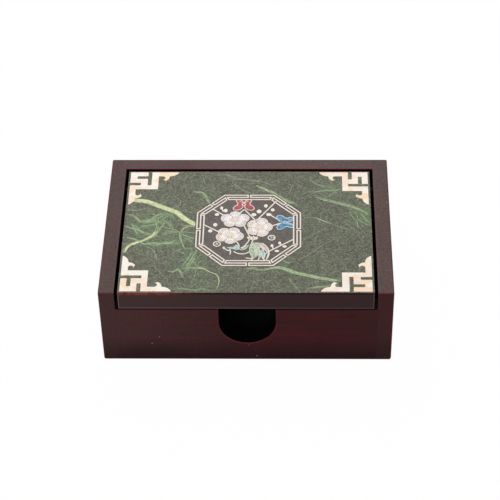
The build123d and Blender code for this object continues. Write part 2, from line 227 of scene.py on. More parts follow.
def grained(shader, along, cloud, shift):
    """The lacquer's colour, streaked along the board, and the height of its grain.

    The streaks are weak on end grain, and near the ends of the boards that run along x.
    """
    grain = shader.noise(1, 5, 0.62, 0.6, shader.lengthwise(along, 26, 640), shift)
    pores = shader.noise(1, 3, 0.7, 0.3, shader.lengthwise(along, 90, 1700), shift)
    streaks = shader.ramp(shader.size(shader.normal[along]), 0.6, 0.9, 1, 0.3)
    if along == "X":
        streaks = shader.times(streaks, shader.ramp(shader.size(shader.x), 49 * MM, 38 * MM, 0.25, 1))
    colour = shader.mix(shader.times(streaks, shader.ramp(grain, 0.44, 0.66)), BROWN, RED)
    colour = shader.mix(shader.ramp(cloud, 0.44, 0.7, 0, 0.5), colour, BROWN)
    colour = shader.mix(shader.times(streaks, shader.ramp(pores, 0.5, 0.72, 0, 0.6)), colour, PORE)
    height = shader.plus(shader.times(grain, 0.5), shader.times(pores, -0.4))
    return colour, height


def add_painted_sheen(shader, colour, top_sheen):
    """Painted sheen: a pale grey that stands for light glancing off the lacquer, on the top faces, and
    painted light a little at the fronts' left.

    top_sheen is the painted sheen's strength on the top faces at the left and at the right end of the box.
    """
    # Painted sheen on the top faces
    level = shader.ramp(shader.x, -50 * MM, 50 * MM, *top_sheen)
    upward = shader.times(level, shader.ramp(shader.normal["Z"], 0.7, 1, 0.06, 1))
    # Painted light: a little lighter at the left of the front faces
    lit_from_left = shader.times(
        shader.ramp(shader.x, 15 * MM, -52 * MM, 0, 0.025),
        shader.ramp(shader.normal["Y"], 0.6, 0.1),
        shader.ramp(shader.z, 3 * MM, 14 * MM, 0.3, 1),
    )
    specks = shader.noise(1250, 2, 0.6)
    sheen_share = shader.times(shader.plus(upward, lit_from_left), shader.ramp(specks, 0.25, 0.75, 0.7, 1.3))
    return shader.mix(sheen_share, colour, PAINTED_SHEEN)


def wood(name, along, seed, black=None, gloss=0.11, extra=None, top_sheen=(0.026, 0.034)):
    """Dark red-brown lacquer over fine grain, rubbed redder on the edges, with painted shade towards the
    foot, painted sheen on the tops, and dust on it.

    black tells where the finish is plain black, and extra adds what one board has alone.
    """
    shader = Shader(name)
    shift = (seed, seed * 0.7, seed * 1.3)
    cloud = shader.noise(34, 3, 0.55, 0.4, offset=shift)
    colour, height = grained(shader, along, cloud, shift)
    # Painted shade: darker towards the foot
    foot = shader.ramp(shader.plus(shader.z, shader.times(cloud, 12 * MM)), 20 * MM, 6 * MM, 0, 0.95)
    colour = shader.mix(foot, colour, FOOT_SHADE)
    worn = shader.times(shader.edges(), shader.ramp(cloud, 0.3, 0.6, 0.4, 0.95))
    colour = shader.mix(worn, colour, EDGE_RUBBED)
    # Painted sheen on the top faces, and painted light at the fronts' left
    colour = add_painted_sheen(shader, colour, top_sheen)
    dust = shader.specks(300, 0.085, 0.3, shift)
    colour = shader.mix(shader.times(dust, 0.7), colour, DUST)
    if extra is not None:
        colour = extra(shader, colour)
    rough = shader.ramp(cloud, 0.3, 0.7, 0.36, 0.46)
    if black is not None:
        hidden = black(shader)
        colour = shader.mix(hidden, colour, BLACK)
        rough = shader.most(rough, hidden)
    shader.set(Base_Color=colour, Roughness=rough, Specular_IOR_Level=gloss)
    shader.bump(height, 0.12, 0.04 * MM)
    return shader.material


# The faces with the inside's black finish, which on the lid's rounded sides is also painted shade. A point
# this near to a face is on it.

NEAR = 0.03 * MM
CLOSE = 0.02 * MM
# The notch, as the CAD has it
NOTCH_RADIUS = 10.8 * MM
NOTCH_MIDDLE_X = 0.3 * MM
NOTCH_MIDDLE_Z = 20.5 * MM


def black_side(shader):
    """The inner face of a side wall."""
    return shader.below(shader.size(shader.x), INNER_X + NEAR)


def black_rear(shader):
    """The inner face of the rear wall."""
    return shader.below(shader.y, REAR_INNER_Y + NEAR)


def black_front(shader):
    """The inner face of the front wall, and the cut edge of the notch."""
    across = shader.minus(shader.x, NOTCH_MIDDLE_X)
    drop = shader.math("MINIMUM", shader.minus(shader.z, NOTCH_MIDDLE_Z), 0)
    cut = shader.below(shader.distance(across, drop), NOTCH_RADIUS + CLOSE)
    return shader.most(cut, shader.above(shader.y, FRONT_INNER_Y - NEAR))


def black_lid(shader):
    """The underside of the lid, its rear edge and its sides; on the sideways part of the rounded edges this
    black is painted shade, the dark reflection of the gaps.
    """
    under = shader.below(shader.z, LID_LOW.z + CLOSE)
    rear = shader.above(shader.y, LID_HIGH.y - CLOSE)
    # Sides: black, and painted shade where the rounded edges turn towards the gaps
    sides = shader.above(shader.size(shader.normal["X"]), 0.75)
    return shader.most(under, rear, sides)


# What one board has alone

# The lid's greyer tone; it is lighter at the left, which is painted light
LID_GREY_RIGHT = (0.018, 0.0165, 0.016)
LID_GREY_LIT_LEFT = (0.036, 0.024, 0.023)
LID_EDGE = (0.022, 0.001, 0.003)
LID_EDGE_RUBBED = (0.21, 0.036, 0.026)
# Painted highlights on the lid's lower front edge and on its front corners
LID_LOWER_EDGE_HIGHLIGHT = (0.15, 0.088, 0.088)
LID_CORNER_HIGHLIGHT = (0.16, 0.085, 0.085)
END_GRAIN = (0.046, 0.012, 0.014)
# Painted highlight on the side walls' upper inner edges
INNER_EDGE_HIGHLIGHT = (0.8, 0.5, 0.48)
REAR_EDGE_RUBBED = (0.17, 0.008, 0.022)
# Painted highlight on the notch's bevel
NOTCH_BEVEL_HIGHLIGHT = (0.17, 0.035, 0.05)
FOOT_RED = (0.2, 0.02, 0.03)
FRONT_FOOT_RED = (0.34, 0.035, 0.05)


def upper_front_edge(shader, colour):
    """The lid's upper front edge: dark red, and rubbed to red-brown at the left."""
    spots = shader.noise(520, 2, 0.6, offset=(0.3, 0.1, 0.2))
    at_left = shader.ramp(shader.x, -14 * MM, -36 * MM)
    depth = shader.ramp(at_left, 0, 1, 0.75 * MM, 1.15 * MM)
    share = shader.math("DIVIDE", shader.minus(LID_HIGH.z, shader.z), depth)
    rim = shader.times(shader.below(shader.y, LID_LOW.y + 0.5 * MM), shader.ramp(share, 1, 0.6))
    rubbed = shader.times(at_left, shader.ramp(spots, 0.32, 0.56, 0.25, 1))
    return shader.mix(rim, colour, shader.mix(rubbed, LID_EDGE, LID_EDGE_RUBBED))


def lower_front_edge(shader, colour):
    """The lid's lower front edge: a painted highlight along it, painted shade in the seam under it, and
    painted highlights on the front corners, stronger at the left.
    """
    front = shader.below(shader.y, LID_LOW.y + 0.3 * MM)
    edge = shader.ramp(shader.z, LID_LOW.z + 0.8 * MM, LID_LOW.z + 0.6 * MM)
    # Painted highlight along the lower front edge, stronger at the left
    highlight_strength = shader.ramp(shader.x, 20 * MM, -40 * MM, 0.55, 0.95)
    colour = shader.mix(shader.times(front, edge, highlight_strength), colour, LID_LOWER_EDGE_HIGHLIGHT)
    # Painted shade in the seam under the lid
    seam_shade = shader.ramp(shader.z, LID_LOW.z + 0.36 * MM, LID_LOW.z + 0.24 * MM)
    colour = shader.mix(shader.times(front, seam_shade), colour, SEAM_SHADE)
    # Painted highlights on the front corners, stronger at the left
    corner = shader.ramp(shader.size(shader.x), LID_HIGH.x - 0.55 * MM, LID_HIGH.x - 0.45 * MM)
    highlight_by_side = shader.ramp(shader.x, 0, -1 * MM, 0.5, 0.9)
    return shader.mix(shader.times(front, corner, highlight_by_side), colour, LID_CORNER_HIGHLIGHT)


def lid_finish(shader, colour):
    """The lid: greyer than the case and lighter towards the left as painted light, with its own front
    edges.
    """
    # Painted light: the lid's tone lighter towards the left
    left = shader.ramp(shader.x, 25 * MM, -30 * MM)
    colour = shader.mix(0.55, colour, shader.mix(left, LID_GREY_RIGHT, LID_GREY_LIT_LEFT))
    return lower_front_edge(shader, upper_front_edge(shader, colour))


def foot_line(shader, colour, strength, tint):
    """The rounded foot, rubbed red."""
    foot = shader.ramp(shader.z, 1.3 * MM, 0.7 * MM)
    return shader.mix(shader.times(foot, strength), colour, tint)


def side_wall_finish(shader, colour):
    """The side walls: redder end grain in front, a painted highlight on the upper inner edge, and the foot.
    """
    forward = shader.ramp(shader.normal["Y"], -0.8, -0.95)
    colour = shader.mix(shader.times(forward, 0.2), colour, END_GRAIN)
    # Painted highlight on the upper inner edge
    inner = shader.times(
        shader.ramp(shader.size(shader.x), INNER_X + 0.75 * MM, INNER_X + 0.45 * MM),
        shader.ramp(shader.normal["Z"], 0.3, 0.8),
        shader.below(shader.y, REAR_INNER_Y),
    )
    colour = shader.mix(shader.times(inner, 0.03), colour, INNER_EDGE_HIGHLIGHT)
    return foot_line(shader, colour, 0.7, FOOT_RED)


def front_wall_finish(shader, colour):
    """The front wall: painted shade in a dark line under the lid, a painted highlight on the notch's bevel,
    and the foot rubbed red.
    """
    colour = foot_line(shader, colour, 0.85, FRONT_FOOT_RED)
    # Painted shade in the seam under the lid
    seam_shade = shader.ramp(shader.z, LID_LOW.z - 0.5 * MM, LID_LOW.z - 0.25 * MM)
    colour = shader.mix(seam_shade, colour, SEAM_SHADE)
    # Painted highlight on the notch's bevel, stronger at the left
    across = shader.size(shader.minus(shader.x, NOTCH_MIDDLE_X))
    near = shader.ramp(across, NOTCH_RADIUS + 0.5 * MM, NOTCH_RADIUS + 0.3 * MM)
    bevel_highlight = shader.times(near, shader.edges(), shader.ramp(shader.x, 8 * MM, -10 * MM, 0.15, 0.65))
    return shader.mix(bevel_highlight, colour, NOTCH_BEVEL_HIGHLIGHT)


def rear_wall_finish(shader, colour):
    """The rear wall's upper inner edge, rubbed through to red."""
    edge = shader.ramp(shader.y, REAR_INNER_Y + 0.5 * MM, REAR_INNER_Y + 0.2 * MM)
    return shader.mix(shader.times(edge, 0.9), colour, REAR_EDGE_RUBBED)


# The lining, the pins and the paper

FELT_LOW = (0.002, 0.002, 0.002)
FELT_HIGH = (0.008, 0.008, 0.009)
FELT_CLUMP = (0.004, 0.004, 0.005)
STEEL_LOW = (0.006, 0.006, 0.006)
STEEL_HIGH = (0.016, 0.015, 0.015)
PAPER_LOW = (0.105, 0.108, 0.074)
PAPER_HIGH = (0.124, 0.131, 0.091)
PAPER_GREEN = (0.14, 0.205, 0.102)
PAPER_PALE = (0.25, 0.27, 0.195)
PAPER_DARK = (0.039, 0.043, 0.029)
PAPER_FLECK = (0.26, 0.28, 0.21)
PAPER_GLOSS = {"Roughness": 0.45, "Specular_IOR_Level": 0.095}

# Fine hair lines in the paper: cells to the metre, width, seed, strength and colour
HAIRS = (
    (150, 0.012, 0.31, 0.5, (0.19, 0.25, 0.15)),
    (95, 0.008, 0.77, 0.5, (0.26, 0.3, 0.2)),
    (240, 0.018, 0.53, 0.4, (0.17, 0.22, 0.13)),
)
# Where fine green fibre lies thick in the paper: middle and reach in mm, and how strong
GREEN_PATCHES = (
    (-38, -3, 15, 0.52),
    (-27, -10, 10, 0.4),
    (-21, -23, 9, 0.5),
    (-16, 14, 8, 0.35),
    (44, 4, 9, 0.6),
    (33, 21, 9, 0.45),
    (14, 15, 7, 0.4),
    (26, 2, 10, 0.3),
    (20, -28, 12, 0.3),
    (-14, -33, 10, 0.35),
)


def felt():
    """The lining's black cloth, with a short nap."""
    shader = Shader("black_felt")
    nap = shader.noise(3500, 4, 0.7)
    clumps = shader.noise(400, 3, 0.6)
    colour = shader.mix(nap, FELT_LOW, FELT_HIGH)
    colour = shader.mix(shader.ramp(clumps, 0.4, 0.7, 0, 0.4), colour, FELT_CLUMP)
    shader.set(Base_Color=colour, Roughness=0.95, Specular_IOR_Level=0.1, Sheen_Weight=0.1)
    shader.bump(nap, 0.6, 0.2 * MM)
    return shader.material


def pin_steel():
    """Blackened steel, turned round the pins' axis."""
    shader = Shader("pin_steel")
    turned = shader.noise(1, 3, 0.6, vector=shader.lengthwise("X", 4000, 60))
    colour = shader.mix(turned, STEEL_LOW, STEEL_HIGH)
    shader.set(Base_Color=colour, Metallic=1, Roughness=shader.ramp(turned, 0.3, 0.7, 0.35, 0.55))
    shader.bump(turned, 0.15, 0.03 * MM)
    return shader.material


def hair(shader, scale, width, seed):
    """Fine hair lines: the contours of a noise field, broken up by another."""
    bent = shader.noise(scale, 1.5, 0.45, 0.6, offset=(seed, seed * 2, 0))
    line = shader.ramp(shader.size(shader.minus(bent, 0.5)), width, 0)
    cover = shader.noise(scale * 0.7, 2, 0.5, offset=(seed * 3, seed, 0.1))
    return shader.times(line, shader.ramp(cover, 0.45, 0.62))


def green_cover(shader):
    """How thick fine green fibre lies in the paper."""
    patches = []
    for x, y, reach, strength in GREEN_PATCHES:
        away = shader.distance(shader.minus(shader.x, x * MM), shader.minus(shader.y, y * MM))
        patches.append(shader.ramp(away, reach * MM, 0, 0, strength))
    return shader.most(*patches)


def paper():
    """Mulberry paper dyed dark green, speckled and with fine hairs in it, under clear lacquer."""
    shader = Shader("green_paper")
    grain = shader.noise(1450, 3, 0.8)
    fine = shader.noise(2600, 2, 0.7)
    cloud = shader.noise(60, 3, 0.6, 0.8)
    wisps = shader.noise(1, 5, 0.65, 2.6, shader.lengthwise("Y", 330, 150))
    colour = shader.mix(cloud, PAPER_LOW, PAPER_HIGH)
    green = shader.times(green_cover(shader), shader.ramp(wisps, 0.42, 0.62, 0.25, 1))
    colour = shader.mix(green, colour, PAPER_GREEN)
    colour = shader.mix(shader.ramp(grain, 0.51, 0.65), colour, PAPER_PALE)
    colour = shader.mix(shader.ramp(grain, 0.48, 0.34), colour, PAPER_DARK)
    colour = shader.mix(shader.ramp(fine, 0.55, 0.8, 0, 0.45), colour, PAPER_FLECK)
    for scale, width, seed, strength, tint in HAIRS:
        colour = shader.mix(shader.times(hair(shader, scale, width, seed), strength), colour, tint)
    shader.set(Base_Color=colour, **PAPER_GLOSS)
    shader.bump(grain, 0.12, 0.05 * MM)
    return shader.material


def fibre(name, dark, light):
    """Fibres and fine lines: paler and darker along their length."""
    shader = Shader(name)
    tone = shader.noise(900, 4, 0.75)
    shader.set(Base_Color=shader.mix(shader.ramp(tone, 0.35, 0.65), dark, light), **PAPER_GLOSS)
    shader.bump(tone, 0.1, 0.04 * MM)
    return shader.material


# Shell, and the ground of the medallion

WHITE = (0.95, 0.87, 0.775)
PEACH = (0.95, 0.71, 0.49)
PINK = (0.93, 0.77, 0.74)
LACQUER_LOW = (0.086, 0.07, 0.058)
LACQUER_HIGH = (0.106, 0.089, 0.075)
LACQUER_PALE = (0.15, 0.132, 0.114)
LACQUER_DARK = (0.055, 0.046, 0.037)

# Each kind of shell: its base, the two tints that lie on it in patches, and patches to the metre
SHELLS = {
    "pearl_corner": (WHITE, PEACH, PINK, 150),
    "pearl_line": ((0.84, 0.77, 0.68), (0.86, 0.74, 0.62), (0.78, 0.71, 0.66), 260),
    "pearl_bud": ((0.87, 0.83, 0.77), (0.86, 0.76, 0.66), (0.84, 0.78, 0.76), 90),
    "pearl_petal": ((0.93, 0.87, 0.82), (0.93, 0.79, 0.66), (0.85, 0.78, 0.83), 340),
    "pearl_scroll": ((0.8, 0.74, 0.64), (0.84, 0.74, 0.58), (0.78, 0.74, 0.68), 300),
    "shell_eye": ((0.82, 0.76, 0.6), PEACH, PINK, 300),
    "shell_red": ((0.36, 0.028, 0.032), (0.46, 0.06, 0.06), (0.25, 0.022, 0.028), 500),
    "shell_blue": ((0.03, 0.18, 0.35), (0.1, 0.32, 0.5), (0.02, 0.13, 0.27), 500),
    "shell_rim": ((0.84, 0.6, 0.54), (0.88, 0.7, 0.64), (0.74, 0.44, 0.4), 400),
    "shell_rim_blue": ((0.46, 0.64, 0.74), (0.68, 0.78, 0.82), (0.26, 0.48, 0.66), 400),
    "shell_green": ((0.34, 0.46, 0.29), (0.62, 0.68, 0.5), (0.26, 0.46, 0.36), 520),
    "shell_pink": ((0.78, 0.52, 0.52), (0.66, 0.7, 0.7), (0.84, 0.7, 0.64), 420),
    "shell_aqua": ((0.24, 0.66, 0.6), (0.4, 0.52, 0.78), (0.56, 0.74, 0.64), 420),
    "shell_green_fill": ((0.34, 0.5, 0.3), (0.52, 0.62, 0.44), (0.44, 0.5, 0.38), 420),
    "shell_pink_fill": ((0.76, 0.5, 0.5), (0.84, 0.74, 0.66), (0.6, 0.62, 0.64), 420),
    "shell_aqua_fill": ((0.36, 0.62, 0.58), (0.62, 0.72, 0.66), (0.46, 0.52, 0.66), 420),
}
# The nodes that are cut from each kind
SHELL_NODES = {
    "pearl_corner": ("front_left_fret", "front_right_fret", "rear_left_fret", "rear_right_fret"),
    "pearl_line": ("octagon_meander", "twigs", "tendrils"),
    "pearl_bud": ("buds",),
    "pearl_petal": ("upper_blossom", "lower_blossom", "right_blossom"),
    "shell_eye": ("blossom_eyes",),
    "shell_red": ("red_butterfly_wings",),
    "shell_blue": ("blue_butterfly_wings",),
    "shell_rim": ("red_butterfly_rim",),
    "shell_rim_blue": ("blue_butterfly_rim",),
    "shell_green": ("green_leaves",),
    "shell_pink": ("pink_leaves",),
    "shell_aqua": ("aqua_leaves",),
}


def shell(name):
    """Polished shell: patches of two tints over a base, with fine growth lines."""
    base, first, second, patch = SHELLS[name]
    shader = Shader(name)
    one = shader.noise(patch, 2, 0.5, 1)
    two = shader.noise(patch * 1.4, 2, 0.5, 1.2, offset=(0.37, 0.11, 0.05))
    growth = shader.noise(1, 3, 0.6, 1.2, shader.scaled((500, 1500, 600)))
    colour = shader.mix(shader.ramp(one, 0.47, 0.6), base, first)
    colour = shader.mix(shader.ramp(two, 0.51, 0.64), colour, second)
    dimmer = tuple(part * 0.84 for part in base)
    colour = shader.mix(shader.ramp(growth, 0.52, 0.78, 0, 0.5), colour, dimmer)
    rough = shader.ramp(growth, 0.3, 0.7, 0.24, 0.36)
    shader.set(Base_Color=colour, Roughness=rough, Specular_IOR_Level=0.165)
    shader.bump(growth, 0.06, 0.03 * MM)
    return shader.material


def dark_lacquer():
    """The medallion's ground: near-black lacquer with fine grain."""
    shader = Shader("dark_lacquer")
    grain = shader.noise(1150, 3, 0.75)
    cloud = shader.noise(70, 2, 0.6)
    colour = shader.mix(cloud, LACQUER_LOW, LACQUER_HIGH)
    colour = shader.mix(shader.ramp(grain, 0.5, 0.68), colour, LACQUER_PALE)
    colour = shader.mix(shader.ramp(grain, 0.5, 0.34), colour, LACQUER_DARK)
    shader.set(Base_Color=colour, Roughness=0.42, Specular_IOR_Level=0.155)
    shader.bump(grain, 0.06, 0.03 * MM)
    return shader.material


def dress(node, material):
    NODES[node].data.materials.clear()
    NODES[node].data.materials.append(material)


def dress_nodes():
    side_gloss = 0.048
    # How strong the painted sheen is on each wall's top faces, at the left and at the right end
    left_sheen, right_sheen, rear_sheen = (0.048, 0.048), (0.09, 0.09), (0.018, 0.078)
    dress("front_wall", wood("wood_front", "X", 0.13, black_front, 0.032, front_wall_finish))
    dress("rear_wall", wood("wood_rear", "X", 0.41, black_rear, 0.092, rear_wall_finish, rear_sheen))
    dress("left_wall", wood("wood_left", "Y", 0.23, black_side, side_gloss, side_wall_finish, left_sheen))
    dress("right_wall", wood("wood_right", "Y", 0.67, black_side, side_gloss, side_wall_finish, right_sheen))
    dress("base_board", wood("wood_base", "X", 0.91))
    dress("lid_board", wood("wood_lid", "X", 0.37, black_lid, 0.08, lid_finish))
    dress("floor_lining", felt())
    metal = pin_steel()
    dress("left_hinge_pin", metal)
    dress("right_hinge_pin", metal)
    dress("paper_panel", paper())
    dress("octagon_ground", dark_lacquer())
    for kind, nodes in SHELL_NODES.items():
        material = shell(kind)
        for node in nodes:
            dress(node, material)


# Flat ribbons, for the fibres in the paper and for the fine lines on the shell

OCTAGON_HALF = (OCTAGON_HIGH.x - OCTAGON_LOW.x) / 2
# How far the octagon's slanted sides cut back its square's corners
OCTAGON_CUT = 10.705 * MM
RIBBON_STEP = 0.35 * MM
PANEL_EDGE = 0.05 * MM
# A ribbon lies this many metres over the ones before it for each facet they have: none share a plane
STACK_STEP = 5e-10
# How fast a ribbon widens from its ends, in its own widths for its whole length
TAPER = 4


def add_piece(name, material, points, faces, thickness=0):
    """A piece that rides on the lid. Its thickness goes down from its points."""
    mesh = bpy.data.meshes.new(name)
    mesh.from_pydata(points, [], faces)
    mesh.materials.append(material)
    if mesh.polygons[0].normal.z < 0:
        mesh.flip_normals()
    piece = bpy.data.objects.new(name, mesh)
    bpy.context.scene.collection.objects.link(piece)
    if thickness:
        solid = piece.modifiers.new("thickness", "SOLIDIFY")
        solid.thickness = thickness
        solid.offset = -1
    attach(piece, "lid")


def on_paper(x, y):
    """True for a point on the panel and outside the medallion."""
    if not PANEL_LOW.x + PANEL_EDGE < x < PANEL_HIGH.x - PANEL_EDGE:
        return False
    if not PANEL_LOW.y + PANEL_EDGE < y < PANEL_HIGH.y - PANEL_EDGE:
        return False
    across, along = abs(x - OCTAGON_MIDDLE.x), abs(y - OCTAGON_MIDDLE.y)
    inside = max(across, along) < OCTAGON_HALF and across + along < 2 * OCTAGON_HALF - OCTAGON_CUT
    return not inside


def anywhere(x, y):
    return True


def through(points, spacing=RIBBON_STEP):
    """Points about spacing apart on a smooth line through the given ones."""
    ends = [2 * points[0] - points[1], *points, 2 * points[-1] - points[-2]]
    line = []
    for a, b, c, d in zip(ends, ends[1:], ends[2:], ends[3:]):
        steps = max(2, round((c - b).length / spacing))
        for step in range(steps):
            t = step / steps
            line.append(
                b + (c - a) * 0.5 * t
                + (a - 2.5 * b + 2 * c - 0.5 * d) * t * t
                + (1.5 * b - 0.5 * a - 1.5 * c + 0.5 * d) * t * t * t
            )
    line.append(points[-1])
    return line


class Ribbons:
    """Flat ribbons collected into one mesh, which lies on the panel or the shell.

    base is its height, inside tells which points it may cover, and depth is its thickness.
    """

    def __init__(self, name, slot, material, base, inside=anywhere, depth=0):
        self.name, self.slot, self.material = name, slot, material
        self.base, self.inside, self.depth = base, inside, depth
        self.points, self.faces = [], []

    def add(self, line, width, blunt=0.25):
        """A ribbon along a line. It narrows to both ends, to blunt of its width."""
        last = len(line) - 1
        height = self.base + len(self.faces) * STACK_STEP
        before, joined = None, False
        for index, middle in enumerate(line):
            way = line[min(index + 1, last)] - line[max(index - 1, 0)]
            if way.length == 0:
                continue
            taper = min(1, blunt + TAPER * min(index, last - index) / last)
            side = Vector((-way.y, way.x)).normalized() * (width * taper / 2)
            here = [(*(middle - side), height), (*(middle + side), height)]
            if before is not None and all(self.inside(*point[:2]) for point in (*before, *here)):
                if not joined:
                    self.points += before
                self.points += here
                start = len(self.points) - 4
                self.faces.append((start, start + 2, start + 3, start + 1))
                joined = True
            else:
                joined = False
            before = here

    def build(self):
        add_piece(self.name, self.material, self.points, self.faces, self.depth)


# Fibres in the paper

# Each tone: its piece, its colours from dark to light, and how far it lies over the paper in mm
PALE, LIME, GREEN, DIM = range(4)
TONES = (
    ("fibres_pale", (0.54, 0.6, 0.3), (0.86, 0.89, 0.52), 0.01),
    ("fibres_lime", (0.28, 0.375, 0.205), (0.47, 0.575, 0.34), 0.007),
    ("fibres_green", (0.125, 0.19, 0.1), (0.24, 0.32, 0.18), 0.004),
    ("fibres_dim", (0.2, 0.225, 0.165), (0.35, 0.38, 0.285), 0.002),
)
# One in so many of a green strand's fibres is lime, and of the loose green ones
LIME_IN_STRAND, LIME_IN_LOOSE = 7, 6
# Where on its strand a fibre starts and ends, and how many times the given width it has
START, END = (0, 0.25), (0.75, 1)
STRAND_WIDTHS, LOOSE_WIDTHS = (0.9, 1.5), (0.6, 1.3)
# How far a strand's fibres lie from its line, as a share of its width, and how much each wanders
ASIDE, DRIFT, SLIP = 0.3, 0.07, 0.1
# What a loose fibre keeps of its turn from step to step, and how much its bend and the turn count
TURN_KEPT, BEND_SHARE, TURN_SHARE = 0.9, 0.4, 0.35
# The broad pale strand at the upper left, in mm
UPPER_LEFT_ROUTE = (
    (-46.2, 14.2), (-44.1, 13.5), (-39.8, 12.8), (-34.4, 10.1), (-29.8, 7.6), (-27.3, 6.2), (-25.3, 3.7),
    (-22.5, 1.2), (-19.8, -0.8), (-17.5, -2.6),
)
